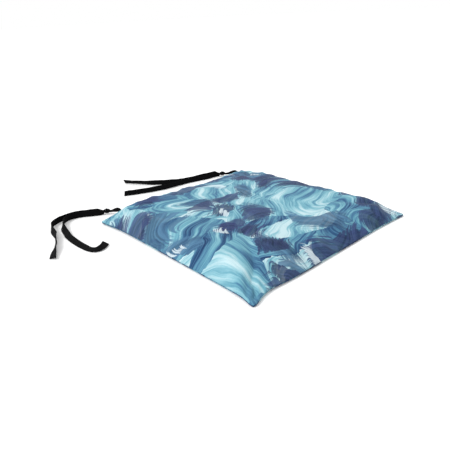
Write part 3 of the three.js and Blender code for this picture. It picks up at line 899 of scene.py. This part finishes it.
def fill_layer(name, above):
    """One side of the bat: it follows the cover's inside, or the belly."""
    inset_u, inset_v = 1 - FILL_INSET / HALF_WIDTH, 1 - FILL_INSET / HALF_DEPTH
    piece, u, v = panel_grid(name, FILL_DIVISIONS, belly_height)
    x, y = plan(u * inset_u, v * inset_v)
    fluff = FLUFF * clouds(np.column_stack([x, y]), 120.0, 5.5 if above else 8.5)
    down = Vector((0.0, 0.0, -1.0))
    hits = [cover_inside.ray_cast(Vector((a, b, 1.0)), down)[0] for a, b in zip(x, y)]
    crown = np.array([hit.z for hit in hits])
    belly = belly_height(u * inset_u, v * inset_v)
    skin = np.minimum(FILL_SKIN, 0.4 * (crown - belly))
    fluff *= skin / FILL_SKIN
    put(piece, np.column_stack([x, y, crown - skin + fluff if above else belly + skin + fluff]))
    return piece


fill = fill_layer("fibre_bat", True)
fill_under = fill_layer("fibre_under", False)
fill_under.data.flip_normals()
bpy.ops.object.select_all(action="DESELECT")
fill_under.select_set(True)
fill.select_set(True)
bpy.context.view_layer.objects.active = fill
bpy.ops.object.join()
bpy.ops.object.mode_set(mode="EDIT")
bpy.ops.mesh.select_all(action="DESELECT")
bpy.ops.mesh.select_mode(type="EDGE")
bpy.ops.mesh.select_non_manifold()
bpy.ops.mesh.bridge_edge_loops()
bpy.ops.mesh.select_all(action="SELECT")
bpy.ops.mesh.normals_make_consistent(inside=False)
bpy.ops.object.mode_set(mode="OBJECT")
fill.data.shade_smooth()


def white_fibre():
    shader = Shader("white_fibre", roughness=0.95, sheen_weight=0.5)
    place = shader.vector("MULTIPLY", shader.coordinates(), (1.0, 1.0, 3.0))
    strands = shader.noise(place, 260.0, 5.0, 0.7)
    tone = shader.mix(strands, (0.72, 0.71, 0.68, 1), (0.93, 0.92, 0.90, 1))
    shader.feed(shader.surface.inputs["Base Color"], tone)
    shader.bump(strands, 0.6, 0.001)
    return shader.material


fill.data.materials.clear()
fill.data.materials.append(white_fibre())
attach(fill, "pad")
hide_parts("fibre_fill")

# ---------------------------------------------------------------------------------------
# Seam stitching: one row of lockstitch round the pad, 3 mm in from the edge between the
# two allowances, with a closing row over the turning gap in the rear seam.

STITCH_INSET = 0.003
STITCH_LENGTH = 0.0028
STITCH_DIP = 0.00018     # how far the thread dips and rises at each stitch
THREAD_RADIUS = 0.00022
THREAD_GIRTH = 0.0015
THREAD_SIDES = 6
THREAD_PLY = 0.0007      # from one twist of the thread to the next
CLOSURE = 0.120          # length of the turning gap
ANCHOR_WIDTH = 0.010     # of the folded tape that a row stops short of
CORNER_GAP = 0.008       # from the front corners to where a row starts
ROW_GAP = 0.001          # between one row's end and the next
LONG_ROW, REAR_ROW, TIE_ROW = 60, 30, 12      # places that the rows are laid through

stitch_u, stitch_v = 1 - STITCH_INSET / HALF_WIDTH, 1 - STITCH_INSET / HALF_DEPTH
tie_u = {side: hinge_of(side).x / HALF_WIDTH for side in ("left", "right")}


def seam_places(us, vs):
    x, y = plan(us, vs)
    return np.column_stack([x, y, seam_height(us, vs)])


def thread_row(name, places, radius, wave, slot):
    """Thread that dips and rises once for every stitch along its row."""
    lengths = np.concatenate([[0.0], np.cumsum(np.linalg.norm(np.diff(places, axis=0), axis=1))])
    stitches = max(2, round(lengths[-1] / STITCH_LENGTH))
    spaced = np.linspace(0.0, lengths[-1], stitches * 4 + 1)
    row = np.column_stack([np.interp(spaced, lengths, places[:, k]) for k in range(3)])
    row[:, 2] += wave * np.sin(np.arange(len(row)) * math.pi / 2)
    _, across, upward = frames_along(row)
    angle = np.linspace(0, 2 * math.pi, THREAD_SIDES, endpoint=False)
    ring = np.cos(angle)[None, :, None] * across[:, None] + np.sin(angle)[None, :, None] * upward[:, None]
    piece = sweep(name, row[:, None] + radius * ring, THREAD_GIRTH)
    piece.data.materials.append(thread_finish[slot])
    return piece


def sewing_thread(name, dark, light):
    shader = Shader(name, roughness=0.55, sheen_weight=0.2)
    uv = shader.uv("tape")
    ply = ((shader.split(uv, 1) + shader.split(uv, 0)) * (2 * math.pi / THREAD_PLY)).math("SINE")
    shader.bump(ply, 0.5, 0.0001)
    # The colour is darker in the grooves of the twist and lighter on its crests: painted shade and
    # painted light.
    tone = shader.mix(shader.step(ply, -0.8, 0.8), dark, light)
    shader.feed(shader.surface.inputs["Base Color"], tone)
    return shader.material


# Of each pair of colours, the darker is painted shade for the grooves of the twist and the lighter is
# painted light for its crests.
thread_finish = {
    "seam_thread": sewing_thread("blue_thread", (0.030, 0.075, 0.160, 1), (0.060, 0.130, 0.240, 1)),
    "black_thread": sewing_thread("black_thread", (0.006, 0.006, 0.008, 1), (0.02, 0.02, 0.024, 1)),
}
gap_u, gap_v = CORNER_GAP / HALF_WIDTH, CORNER_GAP / HALF_DEPTH
stop = (ANCHOR_WIDTH / 2 + ROW_GAP) / HALF_WIDTH
closure_u = CLOSURE / 2 / HALF_WIDTH
clear_u = ROW_GAP / HALF_WIDTH


def side_row(side, tie):
    """Up one side of the pad, round its rear corner and along to the tie."""
    up_side = np.linspace(-1 + gap_v, stitch_v, LONG_ROW)
    to_tie = np.linspace(side * stitch_u, tie + side * stop, TIE_ROW)[1:]
    us = np.concatenate([np.full(LONG_ROW, side * stitch_u), to_tie])
    vs = np.concatenate([up_side, np.full(TIE_ROW - 1, stitch_v)])
    return seam_places(us, vs)


def front_row():
    return seam_places(np.linspace(-1 + gap_u, 1 - gap_u, LONG_ROW), np.full(LONG_ROW, -stitch_v))


def rear_row(first, last):
    return seam_places(np.linspace(first, last, REAR_ROW), np.full(REAR_ROW, stitch_v))


seam_rows = {
    "seam_thread_front": front_row(),
    "seam_thread_left": side_row(-1, tie_u["left"]),
    "seam_thread_right": side_row(1, tie_u["right"]),
    "seam_thread_rear_left": rear_row(tie_u["left"] + stop, -closure_u - clear_u),
    "seam_thread_rear_right": rear_row(closure_u + clear_u, tie_u["right"] - stop),
    "closure_stitch": rear_row(-closure_u, closure_u),
}
for node, row in seam_rows.items():
    piece = thread_row(node.replace("thread", "row").replace("stitch", "row"), row,
                       THREAD_RADIUS, STITCH_DIP, "seam_thread")
    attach(piece, "pad")
    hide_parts(node)

# ---------------------------------------------------------------------------------------
# Tie folds and bar tacks: the folded middle of each tape is caught flat between the
# allowances and gathers as it comes out. A dense zigzag through it takes the pull.

NOSE = 0.0046            # how far the gathered fold stands out of the seam
FOLD_SIDES = 20
FOLD_GIRTH = 0.012
TACK_ZIGS = 22
TACK_FROM, TACK_LENGTH, TACK_HALF_WIDTH = 0.004, 0.003, 0.0042
TACK_THREAD = 0.00014
TACK_CLEARANCE = 0.0006  # of the thread above the allowance


def tie_fold(side):
    """Flat tape between the allowances that narrows to a soft nose outside the seam."""
    u = tie_u[side]
    edge_y = plan(np.array(u), np.array(1.0))[1]
    x = u * HALF_WIDTH
    # Each row is a place along y, then half of the fold's width and of its thickness there.
    stations = spline([
        (edge_y - 0.0095, 0.0050, 0.00030), (edge_y - 0.006, 0.0050, 0.00034),
        (edge_y - 0.002, 0.0044, 0.00036), (edge_y + 0.0008, 0.0034, 0.0011),
        (edge_y + 0.0026, 0.0026, 0.0019), (edge_y + NOSE, 0.0014, 0.0014),
    ], 5)
    angle = np.linspace(0, 2 * math.pi, FOLD_SIDES, endpoint=False)
    rings = []
    for y, wide, thick in stations:
        across = x + wide * np.sign(np.cos(angle)) * np.abs(np.cos(angle)) ** 0.7
        out = smooth(y, edge_y - 0.001, edge_y + NOSE)
        seam = seam_height(across / HALF_WIDTH, min(1.0, y / edge_y))
        height = seam * (1 - out) + ROOT_ROUTES[side][0][2] / 1000 * out + thick * np.sin(angle)
        rings.append(np.column_stack([across, np.full(FOLD_SIDES, y), height]))
    piece = sweep(f"tie_fold_{side}", np.array(rings), FOLD_GIRTH)
    piece.data.materials.append(black_twill)
    return piece


def bar_tack(side):
    """Zigzag of thread on the upper allowance."""
    zig = np.arange(TACK_ZIGS)
    vs = 1 - (TACK_FROM + TACK_LENGTH * zig / (TACK_ZIGS - 1)) / HALF_DEPTH
    us = tie_u[side] + np.where(zig % 2, 1, -1) * TACK_HALF_WIDTH / HALF_WIDTH
    places = seam_places(us, vs)
    places[:, 2] += SEAM_SPLIT + CLOTH + TACK_CLEARANCE
    return thread_row(f"tack_{side}", places, TACK_THREAD, 0.0, "black_thread")


for side in ("left", "right"):
    fold, tack = tie_fold(side), bar_tack(side)
    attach(fold, "pad")
    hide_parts(f"tie_anchor_{side}")
    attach(tack, "pad")
    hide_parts(f"bar_tack_{side}")

# ---------------------------------------------------------------------------------------
# Studio: a white floor in a white surround, with one broad soft light from the left.

FLOOR_SIZE, FLOOR_DROP = 60, 0.0004           # just under the pad, so that no faces meet
SOFT_LIGHT_FROM = Vector((-0.9, 0.35, 1.0))
SOFT_LIGHT_ENERGY = 1.9
SOFT_LIGHT_SPREAD = math.radians(24)

bpy.ops.mesh.primitive_plane_add(size=FLOOR_SIZE, location=(0, 0, -FLOOR_DROP))
floor = bpy.context.object
floor.name = "studio_floor"
paper = Shader("white_paper", base_color=(0.92, 0.92, 0.92, 1), roughness=0.9, specular_ior_level=0.0)
floor.data.materials.append(paper.material)

world = bpy.context.scene.world or bpy.data.worlds.new("studio")
bpy.context.scene.world = world
world.use_nodes = True
world.node_tree.nodes["Background"].inputs["Color"].default_value = (1, 1, 1, 1)
world.node_tree.nodes["Background"].inputs["Strength"].default_value = 1.0

bpy.ops.object.light_add(type="SUN", rotation=SOFT_LIGHT_FROM.to_track_quat("Z", "Y").to_euler())
bpy.context.object.data.energy = SOFT_LIGHT_ENERGY
bpy.context.object.data.angle = SOFT_LIGHT_SPREAD
bpy.context.scene.view_settings.view_transform = "Standard"
